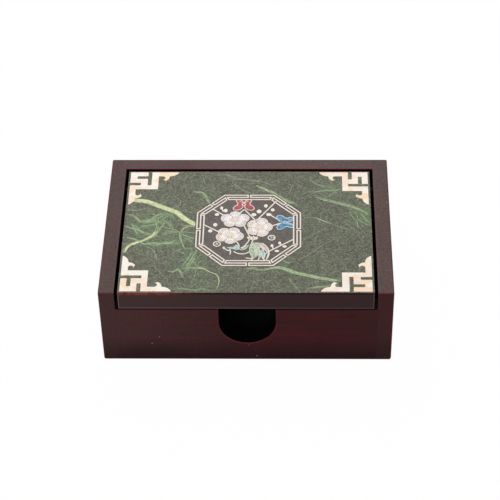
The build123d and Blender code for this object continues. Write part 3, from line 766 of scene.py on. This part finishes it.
# Strands that stand out, in mm: tone, width of the strand, fibres in it, width of a fibre, points, and
# True where all the fibres run its whole length, because they go on under the shell
STRANDS = (
    (LIME, 2, 40, 0.22, UPPER_LEFT_ROUTE, True),
    (PALE, 1.3, 46, 0.26, UPPER_LEFT_ROUTE, True),
    (PALE, 0.75, 9, 0.2, (
        (-46.4, -16.6), (-45.7, -13.8), (-43.9, -11.7), (-41.2, -10.4), (-38.9, -9), (-36.6, -7),
        (-35.5, -4.9), (-34.8, -3.1), (-34.8, -0.8),
    )),
    (LIME, 0.6, 6, 0.15, (
        (-39.6, -9.3), (-38.2, -9), (-35.7, -7.2), (-34.4, -4.9), (-33.5, -2.6), (-32.6, -1), (-31.8, 0.5),
    )),
    (LIME, 1.4, 12, 0.17, (
        (-47, -17.2), (-46.4, -15.6), (-45.2, -13), (-42.6, -11), (-39.6, -9.6), (-37, -7.6), (-35.4, -4.8),
    )),
    (GREEN, 0.6, 9, 0.15, ((-36.2, 1.8), (-35.4, -0.4), (-34.9, -2.8), (-35.2, -4.6))),
    (LIME, 0.6, 5, 0.18, (
        (-47.4, -1.2), (-45, -2.6), (-43, -3.3), (-41.2, -4.4), (-40.2, -5.2), (-38.4, -5),
    )),
    (GREEN, 0.9, 16, 0.15, (
        (-41.5, 2.6), (-39.5, 1.6), (-37.5, 2.2), (-35.5, 4.3), (-34, 5.2), (-31, 5.3), (-29.2, 4.4),
    )),
    (LIME, 0.6, 6, 0.2, ((-44.6, 4.8), (-43, 3.2), (-41.6, 1.2), (-40.4, 0.6))),
    (GREEN, 1.4, 12, 0.15, ((-45.2, 1), (-44.4, -0.8), (-43.4, -2.9), (-42, -6.2), (-41.6, -8.6))),
    (GREEN, 0.7, 8, 0.15, ((-47, -12.2), (-45.4, -11.4), (-42.8, -11.8), (-40.2, -10.8))),
    (GREEN, 1.4, 21, 0.16, ((-38.4, -11), (-35.6, -12.4), (-32.2, -11.2), (-28.6, -10.4), (-26.8, -8.8))),
    (GREEN, 1.2, 12, 0.15, ((-24.8, -9.8), (-23.2, -8.8), (-21.4, -10.6), (-20.6, -12.8))),
    (GREEN, 1.6, 12, 0.13, ((-33.6, 3), (-31, 1.2), (-29, -1.6), (-27.8, -4.8))),
    (LIME, 0.6, 13, 0.22, (
        (-17.8, 0.4), (-20.7, -1.4), (-22.5, -1.5), (-24.4, -2.6), (-25.6, -4.9), (-25.8, -6.7),
        (-25.4, -9), (-24.8, -11.3), (-24, -13.5), (-23.7, -14.8),
    )),
    (GREEN, 0.3, 5, 0.12, ((-26.4, -14.5), (-25, -16.3), (-23.2, -17.4))),
    (LIME, 0.55, 7, 0.18, ((-47.6, 5.6), (-45.3, 5.1), (-43.5, 4.2), (-42.3, 2.6), (-41.2, 0.8))),
    (LIME, 0.5, 6, 0.18, ((-47.6, -7.9), (-44.4, -8.3), (-42.1, -9.5), (-38.9, -11.6), (-36.2, -11.3))),
    (GREEN, 1.5, 39, 0.18, ((-40, -11.8), (-36.2, -11.3), (-32.1, -11.5), (-27.5, -11.2), (-24.5, -10.8))),
    (GREEN, 1, 18, 0.13, (
        (-41.5, 1.5), (-38, 2.2), (-34.8, 5), (-32, 5.8), (-29.8, 4.8), (-28.6, 2.8), (-28.4, 1.5),
    )),
    (GREEN, 1.6, 18, 0.13, ((-45, 1), (-41, -4), (-37, -6.2), (-32.5, -8))),
    (GREEN, 1.4, 16, 0.13, ((-33, -6), (-29, -4.8), (-26.5, -5.4))),
    (GREEN, 2.2, 16, 0.12, ((-46, 3), (-40, 0.5), (-35, 1), (-30, -1))),
    (GREEN, 0.8, 12, 0.15, ((-24.6, -24.6), (-23.1, -21.3), (-21.7, -18.3), (-20.9, -16), (-20.3, -14.2))),
    (GREEN, 1.4, 23, 0.15, ((-23, -26.5), (-21.5, -22.5), (-20, -18.6), (-19.2, -15.5))),
    (LIME, 0.6, 7, 0.18, ((-29.8, -26.5), (-27.5, -26.8), (-25.7, -25.4), (-24.4, -27.2), (-23, -27.8))),
    (GREEN, 0.7, 10, 0.13, ((-26.2, -24), (-24.8, -27.6), (-23.5, -29.9), (-22, -31))),
    (GREEN, 1.3, 16, 0.12, ((-26, -25), (-21, -24.5), (-17, -24.2), (-13.5, -25))),
    (PALE, 0.28, 3, 0.2, (
        (-20.7, -24.7), (-16.2, -25.1), (-13.5, -27), (-11.6, -27.9), (-10.5, -29.5), (-10.1, -31.7),
        (-10.3, -34), (-11.2, -36),
    )),
    (LIME, 0.4, 4, 0.18, (
        (-10.6, -36.5), (-13.5, -36.3), (-16.2, -35.8), (-19.8, -36.4), (-23.5, -35.8), (-27.5, -36),
    )),
    (LIME, 0.6, 4, 0.18, (
        (-23, 20.6), (-20.7, 18.3), (-18.5, 18), (-17.1, 16.5), (-16.2, 14.2), (-15.3, 12.4), (-14.6, 10.6),
    )),
    (GREEN, 1, 23, 0.16, (
        (-21.2, 19.2), (-18.5, 18), (-17, 16.3), (-16.1, 14), (-15.2, 12.2), (-14.4, 10.4),
    )),
    (DIM, 0.4, 5, 0.18, (
        (-12, 29.2), (-8, 28.7), (-5.3, 26.9), (-2.1, 26), (2.7, 25.3), (6.4, 24.2), (9.1, 22.8),
        (11.8, 21.9),
    )),
    (DIM, 0.4, 4, 0.16, ((-5.6, 30.6), (-3.5, 28.7), (-2.1, 26.9))),
    (DIM, 0.4, 5, 0.18, ((-6.2, 23.7), (-4.4, 21.9), (-2.1, 19.6), (0, 18), (0.8, 16.5))),
    (LIME, 0.75, 10, 0.2, (
        (3.2, 22.6), (3.6, 21.9), (5.9, 20.5), (7.7, 19.2), (9.1, 18.5), (10.5, 17.4), (12.7, 15.1),
        (15, 12.8), (17.3, 11.5),
    ), True),
    (GREEN, 0.9, 18, 0.15, ((9, 18.9), (12.7, 15.6), (15, 13.6), (17.6, 12), (20.4, 9.2))),
    (DIM, 0.2, 3, 0.18, ((17.3, 22.8), (16.6, 20.1), (15.9, 16.9))),
    (DIM, 0.3, 4, 0.18, ((23.9, 12.8), (22.7, 10.1), (21.4, 7.4), (20.6, 6.6))),
    (GREEN, 1, 21, 0.15, ((24.8, 18), (29.5, 19.3), (33, 19.3), (35.5, 19.8), (38, 20.6))),
    (DIM, 0.4, 4, 0.16, ((21.8, 18.3), (27.3, 18.9), (31.8, 19.5))),
    (DIM, 0.8, 7, 0.16, ((24, 27), (24.5, 25.5), (27.3, 22.8), (31.8, 21.5), (34.5, 20.5))),
    (LIME, 0.35, 6, 0.2, ((29, 13.9), (32.7, 12.6), (36.4, 11), (40, 9.6), (43.2, 8.3), (47.6, 6.4))),
    (GREEN, 1, 18, 0.15, ((25.5, 16.2), (29.5, 14), (34, 12.6), (40, 10.4), (44.5, 8.6))),
    (GREEN, 0.6, 10, 0.15, ((42.6, 8), (44.5, 4.6), (45.9, 1.9), (47.5, -0.4))),
    (GREEN, 1.6, 21, 0.15, ((41, 9.5), (44, 7), (47.6, 4))),
    (DIM, 0.28, 5, 0.2, (
        (21.8, 3.7), (25.5, 3.5), (27.3, 2.8), (29.5, 1.5), (31.8, 0.3), (34.5, -1.3), (39.1, -3.8),
        (40.6, -4.8),
    )),
    (PALE, 0.16, 1, 0.17, ((26.2, 3.3), (27.3, 2.8), (29.5, 1.5), (31.8, 0.3))),
    (DIM, 0.15, 2, 0.18, ((31.8, -0.4), (29.1, -3.1), (25.9, -5.6), (22.7, -7.2))),
    (DIM, 0.15, 2, 0.15, ((25.7, -7.6), (26, -9.4), (26.4, -11.3))),
    (DIM, 0.15, 2, 0.18, ((29.1, -11.5), (26.8, -14), (24.5, -16.3), (22.3, -18.5), (20, -19.6))),
    (GREEN, 0.9, 12, 0.13, ((12.6, -19.4), (15.5, -21.7), (18.4, -20.3))),
    (LIME, 0.6, 11, 0.2, (
        (-1, -25.4), (0.9, -25.1), (2.7, -24.9), (4.5, -25.6), (7.3, -25.4), (10, -24.9),
    )),
    (LIME, 1.15, 52, 0.22, (
        (7.3, -25.4), (10, -24.8), (11.8, -24.5), (13.6, -24.8), (15.5, -25.8), (18.2, -27.2),
        (20.9, -28.1), (24.5, -29.2), (27.3, -30.1), (30, -30.6), (33.2, -31.4), (35.5, -31),
    )),
    (PALE, 0.75, 12, 0.16, (
        (11.2, -24.7), (13.6, -25), (15.5, -25.9), (18.2, -27.3), (20.9, -28.2), (24.5, -29.3),
        (27.3, -30.2), (30, -30.7),
    )),
    (GREEN, 0.6, 12, 0.13, ((28, -30), (31.5, -31.2), (32.7, -32.6), (34.5, -34.2), (34, -31))),
    (GREEN, 0.7, 16, 0.15, ((22.6, -35.9), (26.4, -34.9), (30, -34.6), (32, -33.2))),
    (LIME, 0.24, 3, 0.18, ((16.2, -30), (16.6, -31.6), (17.7, -34), (20.5, -37.3))),
    (LIME, 0.24, 3, 0.17, ((10.9, -31.3), (12.3, -34.5), (13.6, -37.7))),
    (DIM, 0.2, 2, 0.16, ((5.9, -31.5), (6.9, -34.8))),
    (DIM, 0.6, 8, 0.22, ((-47.4, 8.3), (-44, 7.8), (-41, 8.3), (-38.4, 9.2))),
    (DIM, 0.25, 3, 0.16, ((-35.4, -23), (-34, -24.6), (-31.6, -27.6))),
)
# Loose fibres, in mm and radians: tone, number, shortest, longest, width, x from, x to, y from, y to,
# bend, heading and its spread
LOOSE_FIBRES = (
    (DIM, 180, 4, 14, 0.12, -47, 47, -37, 30, 0.2, 0, 3.14),
    (GREEN, 56, 6, 20, 0.22, -47, -27, -13, 7, 0.22, 0, 0.9),
    (GREEN, 50, 4, 11, 0.16, -28, -18, -30, -15, 0.24, 1, 0.8),
    (GREEN, 36, 4, 12, 0.15, 22, 47, 14, 28, 0.1, -0.2, 0.5),
    (GREEN, 40, 4, 14, 0.15, 36, 47, -2, 12, 0.16, -0.6, 0.6),
    (GREEN, 30, 4, 12, 0.13, -30, 30, -37, -24, 0.18, -0.3, 1.4),
)


def tone_of(tone, number, lime_in):
    return LIME if tone == GREEN and number % lime_in == 1 else tone


def strand(tones, chance, tone, spread, count, width, points, whole=False):
    """A bundle of fibres that wander about one line. The first runs its whole length."""
    middle = [Vector(point) * MM for point in points]
    for number in range(count):
        full = whole or number == 0
        start = 0 if full else chance.uniform(*START)
        end = 1 if full else chance.uniform(*END)
        aside = max(-0.5, min(0.5, chance.gauss(0, ASIDE))) * spread
        line = []
        for point, before, after in zip(middle, [middle[0], *middle], [*middle[1:], middle[-1]]):
            way = (after - before).normalized()
            drift = aside + chance.gauss(0, DRIFT * min(1, spread))
            slip = chance.gauss(0, SLIP)
            line.append(point + (Vector((-way.y, way.x)) * drift + way * slip) * MM)
        line = through(line)
        line = line[int(len(line) * start):max(int(len(line) * end), 3)]
        ribbons = tones[tone_of(tone, number, LIME_IN_STRAND)]
        ribbons.add(line, width * chance.uniform(*STRAND_WIDTHS) * MM)


def wander(chance, x, y, length, bend, heading):
    """A fibre that turns slowly as it goes, from x, y in mm."""
    point, turn, line = Vector((x, y)) * MM, 0, []
    for _ in range(max(4, int(length * MM / RIBBON_STEP))):
        line.append(point.copy())
        turn = turn * TURN_KEPT + chance.gauss(0, bend * BEND_SHARE)
        heading += turn * TURN_SHARE
        point += Vector((math.cos(heading), math.sin(heading))) * RIBBON_STEP
    return line


def add_fibres():
    chance = random.Random(7)
    tones = [
        Ribbons(name, "green_paper", fibre(name, dark, light), PANEL_HIGH.z + lift * MM, on_paper)
        for name, dark, light, lift in TONES
    ]
    for tone, count, short, long, width, x0, x1, y0, y1, bend, heading, spread in LOOSE_FIBRES:
        for number in range(count):
            way = heading + chance.uniform(-spread, spread)
            place = chance.uniform(x0, x1), chance.uniform(y0, y1)
            line = wander(chance, *place, chance.uniform(short, long), bend, way)
            ribbons = tones[tone_of(tone, number, LIME_IN_LOOSE)]
            ribbons.add(line, width * chance.uniform(*LOOSE_WIDTHS) * MM)
    for row in STRANDS:
        strand(tones, chance, *row)
    for ribbons in tones:
        ribbons.build()


# Fine work on the medallion, in millimetres from its middle

# How far the fine lines lie over the shell
LINE_LIFT = 0.004 * MM
# Their colours, from dark to light
CUT_LINE = (0.17, 0.13, 0.12), (0.42, 0.33, 0.3)
STAMEN = (0.46, 0.34, 0.2), (0.66, 0.54, 0.34)
LEAF_LINE = (0.7, 0.62, 0.5), (0.88, 0.82, 0.7)
LEAF_VEIN = (0.1, 0.13, 0.09), (0.3, 0.36, 0.28)

# A blossom's middle, half sizes and turn
BLOSSOMS = (
    ((-5.3, 5.8), (5.7, 4.6), 90),
    ((-7.2, -3.3), (5.5, 4.7), 60),
    ((4.2, 1.3), (5.1, 5.4), 75),
)
PETALS = 5
PETAL_SHARE = 0.52
# A fold in a petal: its radius as a share of the petal's, and how many degrees it goes to each side
FOLDS = ((0.84, 112), (0.6, 92), (0.36, 70))
# How far a fold may turn, in degrees, how its size may vary, and its width in mm
FOLD_TURN, FOLD_SIZES, FOLD_WIDTHS = 18, (0.95, 1.05), (0.12, 0.18)
# The turns of a petal's veins from its middle line, in degrees, and where they start and end
VEINS, VEIN_TURN = (-16, 0, 16), 4
VEIN_START, VEIN_END, VEIN_MORE, VEIN_WIDTH = 1.05, 1.9, 0.7, 0.11
STAMENS, STAMEN_TURN, STAMEN_START = 9, 8, 0.5
STAMEN_ENDS, STAMEN_WIDTH = (1.3, 1.7), 0.12
DOT_RADIUS, DOT_WIDTH = 0.07, 0.16
RIM_WIDTH, RIM_INSET, LEAF_VEIN_WIDTH = 0.2, 0.1, 0.12
# A leaf's root, tip, and how far each edge bows from the line between them
LEAVES = (
    ((1.3, -7.6), (2.2, -16.4), -1.3, 1.7),
    ((-2.9, -11.7), (0.2, -8.6), -0.9, 0.4),
    ((2.2, -7.6), (6.9, -13.8), 1.5, 2.6),
    ((2.6, -8.2), (6.2, -12.6), 0.3, 1.3),
    ((4.1, -10.4), (4.3, -16.6), -0.3, 0.9),
    ((5.2, -11.3), (6, -16.4), -0.5, 1.1),
    ((-4.2, -8.6), (-4.5, -11.5), -1.1, 1.1),
    ((-2.4, -11.3), (-8.2, -10.2), -0.9, 0.3),
)
# Shell that fills in between the leaves: its piece, slot, kind and outline
LEAF_FILLS = (
    ("leaf_dome", "green_shell", "shell_green_fill", (
        (0.7, -8.6), (1.4, -7.7), (2.8, -7.4), (4, -8), (4.8, -9.2), (5.2, -10.6), (4.9, -12.2),
        (4.3, -13.6), (3.6, -14.8), (2.9, -15.4), (2.2, -15), (1.4, -12.6), (0.6, -10.6),
    )),
    ("leaf_back", "pink_shell", "shell_pink_fill", (
        (3, -7.4), (4.6, -7.5), (6.2, -8.5), (7.3, -10.2), (7.5, -12), (7.1, -13.2), (6.2, -12.6),
        (5.4, -12), (4.6, -11), (4.4, -9.4),
    )),
    ("leaf_side", "aqua_shell", "shell_aqua_fill", (
        (4.8, -10.6), (5.8, -10.8), (6.6, -12), (6.9, -13.4), (6.5, -14.8), (5.8, -15.6), (5.2, -15),
        (4.7, -14.6), (4.3, -14.4), (4.3, -13), (4.8, -12),
    )),
)
# Cream lines over the fills, with a dark vein beside each: points and width
LEAF_RIBS = (
    (((1.9, -7.4), (3.4, -8.2), (4.8, -9.7), (5.8, -11.6), (6.1, -13.6), (6, -16.3)), 0.3),
    (((1.9, -8.6), (3.3, -9.9), (4.2, -11.6), (4.4, -13.6), (4.1, -16.4)), 0.28),
    (((1.5, -9.8), (2.5, -11.4), (3, -13.4), (2.7, -15.8)), 0.24),
    (((3, -7.5), (5.2, -8), (6.8, -9.5), (7.6, -11.6), (7.6, -14), (7, -16.4)), 0.3),
)
VEIN_ASIDE = 0.22, 0.16
BUTTERFLY_FEELERS = (
    ((14.9, 4.4), (15.7, 5.3), (16.9, 5.9)),
    ((14.9, 3.8), (15.8, 3.1), (16.9, 2.7)),
    ((-2.4, 15.2), (-3.2, 16), (-4, 16.6)),
    ((-1.8, 15.2), (-1, 16), (-0.2, 16.6)),
)
# Small curls and the ruffle under the right blossom: points and width
SCROLLS = (
    (((8.1, -4.2), (8.8, -3.9), (9, -4.6), (8.4, -5.2)), 0.28),
    (((9.2, -4), (9.7, -4.7), (9.3, -5.4)), 0.25),
    (((-12.6, -8.5), (-11.9, -8), (-11.4, -7.4)), 0.34),
    (((-11.3, -8.7), (-11.9, -8), (-12.3, -7.4)), 0.26),
    (((-0.2, -4), (0.1, -4.9), (0.7, -5.6)), 0.8),
    (((0.9, -3.9), (1.2, -4.9), (1.5, -5.9)), 1),
    (((2.2, -3.9), (2.3, -4.9), (2.2, -5.9)), 1),
    (((3.3, -4), (3.2, -4.9), (2.9, -5.6)), 0.9),
    (((-9.7, -9.9), (-8.9, -10.9), (-7.9, -11.2)), 0.5),
)


def placed(points):
    """Points given in millimetres from the medallion's middle, in the frame."""
    return [OCTAGON_MIDDLE.xy + Vector(point) * MM for point in points]


def arc(middle, radius, start, end, count=12):
    """Points on an arc between two angles in degrees, in millimetres."""
    angles = [math.radians(start + (end - start) * step / count) for step in range(count + 1)]
    return [(middle[0] + radius * math.cos(a), middle[1] + radius * math.sin(a)) for a in angles]


def spoke(x, y, way, near, far):
    """Three points on a line that goes out from x, y, from near to far."""
    reaches = near, (near + far) / 2, far
    return [(x + reach * math.cos(way), y + reach * math.sin(way)) for reach in reaches]


def bow(root, tip, rise, count=14):
    """Points on an arc between two places that rises to the left of the line between them."""
    root, tip = Vector(root), Vector(tip)
    chord = tip - root
    aside = Vector((-chord.y, chord.x)).normalized()
    points = []
    for step in range(count + 1):
        t = step / count
        points.append(tuple(root + chord * t + aside * (4 * rise * t * (1 - t))))
    return points


def petal_lines(lines, chance, form):
    """The lines cut into a blossom: folds that follow each petal's edge, and its veins."""
    (x, y), (half_x, half_y), turn = form
    radius = min(half_x, half_y) * PETAL_SHARE
    for petal in range(PETALS):
        heading = turn + 360 / PETALS * petal
        angle = math.radians(heading)
        middle = x + (half_x - radius) * math.cos(angle), y + (half_y - radius) * math.sin(angle)
        for share, reach in FOLDS:
            toward = heading + chance.uniform(-FOLD_TURN, FOLD_TURN)
            size = radius * share * chance.uniform(*FOLD_SIZES)
            fold = arc(middle, size, toward - reach, toward + reach)
            lines.add(placed(fold), chance.uniform(*FOLD_WIDTHS) * MM)
        for aside in VEINS:
            way = math.radians(heading + aside + chance.uniform(-VEIN_TURN, VEIN_TURN))
            vein = spoke(x, y, way, VEIN_START, VEIN_END + chance.uniform(0, VEIN_MORE))
            lines.add(placed(vein), VEIN_WIDTH * MM)


def add_blossom_lines():
    """The petals' cut lines, then the stamens, each with a dot at its end."""
    chance = random.Random(3)
    lines = Ribbons("petal_lines", "pearl_shell", fibre("cut_line", *CUT_LINE), SHELL_TOP + LINE_LIFT)
    for form in BLOSSOMS:
        petal_lines(lines, chance, form)
    lines.build()
    stamens = Ribbons("stamens", "pearl_shell", fibre("stamen", *STAMEN), SHELL_TOP + 2 * LINE_LIFT)
    for (x, y), _, turn in BLOSSOMS:
        for step in range(STAMENS):
            heading = turn + 360 / STAMENS * step
            way = math.radians(heading + chance.uniform(-STAMEN_TURN, STAMEN_TURN))
            stem = spoke(x, y, way, STAMEN_START, chance.uniform(*STAMEN_ENDS))
            stamens.add(placed(stem), STAMEN_WIDTH * MM, 1)
            stamens.add(placed(arc(stem[-1], DOT_RADIUS, 0, 360, 8)), DOT_WIDTH * MM, 1)
    stamens.build()


def add_leaf_fills():
    """Thin flat pieces of shell, let in between the leaves just under their faces."""
    top = SHELL_TOP - LINE_LIFT
    for name, slot, kind, outline in LEAF_FILLS:
        closed = [Vector(point) for point in (*outline, outline[0])]
        edge = placed(through(closed, 0.4)[:-1])
        points = [(*point, top) for point in edge]
        add_piece(name, shell(kind), points, [tuple(range(len(edge)))], top - GROUND_TOP)


def add_leaf_lines():
    """The leaves' cream rims and ribs, their dark veins, and the butterflies' feelers."""
    rims = Ribbons("leaf_lines", "pearl_shell", fibre("leaf_line", *LEAF_LINE), SHELL_TOP + LINE_LIFT)
    veins = Ribbons("leaf_veins", "green_shell", fibre("leaf_vein", *LEAF_VEIN), SHELL_TOP + LINE_LIFT)
    for root, tip, near, far in LEAVES:
        inset = RIM_INSET if far > near else -RIM_INSET
        rims.add(placed(bow(root, tip, near + inset)), RIM_WIDTH * MM)
        rims.add(placed(bow(root, tip, far - inset)), RIM_WIDTH * MM)
        veins.add(placed(bow(root, tip, (near + far) / 2)), LEAF_VEIN_WIDTH * MM)
    for points, width in LEAF_RIBS:
        rims.add(through(placed(points)), width * MM, 0.5)
        aside = [(x - VEIN_ASIDE[0], y - VEIN_ASIDE[1]) for x, y in points]
        veins.add(through(placed(aside)), VEIN_WIDTH * MM)
    for points in BUTTERFLY_FEELERS:
        rims.add(through(placed(points)), RIM_WIDTH * MM, 0.6)
    rims.build()
    veins.build()


def add_scrolls():
    """The small curls and the ruffle, as thick as the shell over the ground."""
    depth = SHELL_TOP - GROUND_TOP
    scrolls = Ribbons("scrolls", "pearl_shell", shell("pearl_scroll"), SHELL_TOP, depth=depth)
    for points, width in SCROLLS:
        scrolls.add(through(placed(points)), width * MM, 0.35)
    scrolls.build()


# Stage: a white floor, a softbox overhead and behind, and a weaker fill in front

FLOOR_REACH = 6
FLOOR_DROP = 0.05 * MM
FLOOR_GREY = (0.8, 0.8, 0.8)
# How white the floor looks to the camera: the rest keeps the shadow
FLOOR_WHITE = 0.985
WORLD_LIGHT = 0.45
WORLD_SEEN = 1
LAMP_AIM = Vector((0, 0, 0.02))
# Each lamp's place and size in metres, and its power in watts
LAMPS = {
    "softbox": ((-0.2, 0.68, 0.76), (0.75, 0.58), 6.4),
    "fill": ((-0.35, -0.95, 0.5), (0.8, 0.6), 3.2),
}


def add_floor():
    shader = Shader("floor")
    rays = shader.node("ShaderNodeLightPath").outputs
    seen = shader.most(rays["Is Camera Ray"], rays["Is Glossy Ray"], rays["Is Transmission Ray"])
    white = shader.node("ShaderNodeEmission", {"Color": (1, 1, 1), "Strength": 1}).outputs[0]
    shader.set(Base_Color=FLOOR_GREY, Roughness=0.9, Specular_IOR_Level=0)
    inputs = {0: shader.times(seen, FLOOR_WHITE), 1: shader.surface.outputs[0], 2: white}
    both = shader.node("ShaderNodeMixShader", inputs).outputs[0]
    shader.put(shader.tree.nodes["Material Output"].inputs["Surface"], both)
    sides = (-1, -1), (1, -1), (1, 1), (-1, 1)
    corners = [(x * FLOOR_REACH, y * FLOOR_REACH, 0) for x, y in sides]
    mesh = bpy.data.meshes.new("floor")
    mesh.from_pydata(corners, [], [(0, 1, 2, 3)])
    mesh.materials.append(shader.material)
    floor = bpy.data.objects.new("floor", mesh)
    floor.location.z = -FLOOR_DROP
    bpy.context.scene.collection.objects.link(floor)


def add_lamps():
    for name, (place, size, watts) in LAMPS.items():
        data = bpy.data.lights.new(name, "AREA")
        data.shape = "RECTANGLE"
        data.size, data.size_y = size
        data.energy = watts
        lamp = bpy.data.objects.new(name, data)
        lamp.location = place
        lamp.rotation_euler = (LAMP_AIM - Vector(place)).to_track_quat("-Z", "Y").to_euler()
        bpy.context.scene.collection.objects.link(lamp)


def add_world():
    """White to the camera, in gloss and through glass, and dimmer as a light."""
    world = bpy.data.worlds.new("world")
    world.use_nodes = True
    tree = world.node_tree
    back = tree.nodes["Background"]
    rays = tree.nodes.new("ShaderNodeLightPath").outputs
    seen = rays["Is Camera Ray"]
    for kind in ("Is Glossy Ray", "Is Transmission Ray"):
        either = tree.nodes.new("ShaderNodeMath")
        either.operation = "MAXIMUM"
        tree.links.new(seen, either.inputs[0])
        tree.links.new(rays[kind], either.inputs[1])
        seen = either.outputs[0]
    level = tree.nodes.new("ShaderNodeMix")
    level.inputs["A"].default_value = WORLD_LIGHT
    level.inputs["B"].default_value = WORLD_SEEN
    tree.links.new(seen, level.inputs["Factor"])
    tree.links.new(level.outputs["Result"], back.inputs["Strength"])
    back.inputs["Color"].default_value = (1, 1, 1, 1)
    bpy.context.scene.world = world


add_camera()
add_floor()
add_world()
add_lamps()
dress_nodes()
add_fibres()
add_blossom_lines()
add_leaf_fills()
add_leaf_lines()
add_scrolls()

bpy.context.scene.view_settings.view_transform = "Standard"
